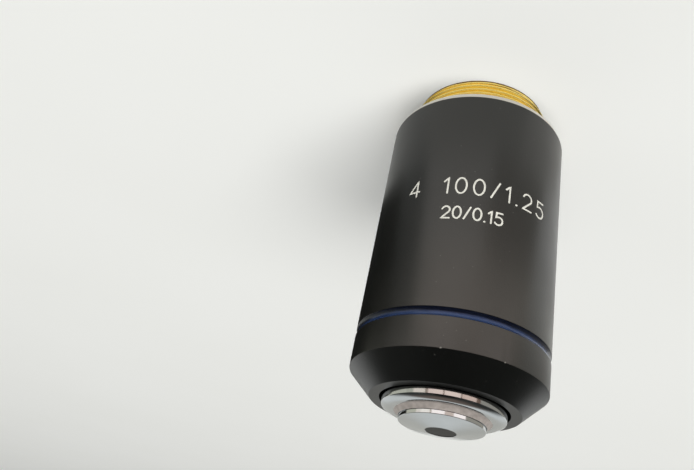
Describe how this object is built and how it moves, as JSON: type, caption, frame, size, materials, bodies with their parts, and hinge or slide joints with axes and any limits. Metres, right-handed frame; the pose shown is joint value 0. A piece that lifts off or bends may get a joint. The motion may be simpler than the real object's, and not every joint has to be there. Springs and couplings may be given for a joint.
{
  "type": "microscope objective",
  "caption": "High-power microscope objective with a spring-loaded front lens, a standard objective thread and a colour ring.",
  "frame": {"origin": "centre of the seating shoulder's plane, on the optical axis, where the objective thread meets the shoulder", "axes": "+Z along the optical axis towards the front lens, with the thread below; +X to the right and -Y towards the viewer of the marked side"},
  "size_m": [0.0254, 0.0254, 0.0498],
  "materials": {
    "black_anodised": "matte black anodised",
    "bright_chrome": "turned and chromed",
    "bright_ring": "fine turned",
    "gold_brass": "turned and lacquered",
    "blue_enamel": "satin enamel",
    "blackened_brass": "chemically blackened",
    "satin_nickel": "satin turned",
    "spring_steel": "drawn wire",
    "lens_glass": "polished and coated"
  },
  "bodies": {
    "barrel": {"thread_mount": "gold_brass", "shoulder_ring": "bright_ring", "main_tube": "satin_nickel", "cover_sleeve": "black_anodised", "colour_band": "blue_enamel", "guide_screw": "spring_steel", "carrier_stop_ring": "blackened_brass", "coil_spring": "spring_steel"},
    "nose": {"lens_carrier": "blackened_brass", "nose_cap": "bright_chrome", "front_lens_cell": "bright_chrome", "front_lens": "lens_glass", "meniscus_cell": "blackened_brass", "meniscus_lens": "lens_glass", "front_doublet_cell": "blackened_brass", "front_doublet_flint": "lens_glass", "front_doublet_crown": "lens_glass", "middle_doublet_cell": "blackened_brass", "middle_doublet_crown": "lens_glass", "middle_doublet_flint": "lens_glass", "spacer_ring": "blackened_brass", "thick_lens_cell": "blackened_brass", "thick_lens": "lens_glass", "rear_doublet_cell": "blackened_brass", "rear_doublet_flint": "lens_glass", "rear_doublet_crown": "lens_glass", "aperture_stop": "blackened_brass", "lens_lock_ring": "blackened_brass"}
  },
  "joints": [
    {"name": "nose_slide", "type": "slide", "parent": "barrel", "child": "nose", "axis": [0, 0, -1], "range_m": [0, 0.0025], "stiffness_N_per_m": 500, "springref_m": -0.002, "deforming": ["coil_spring"]}
  ]
}
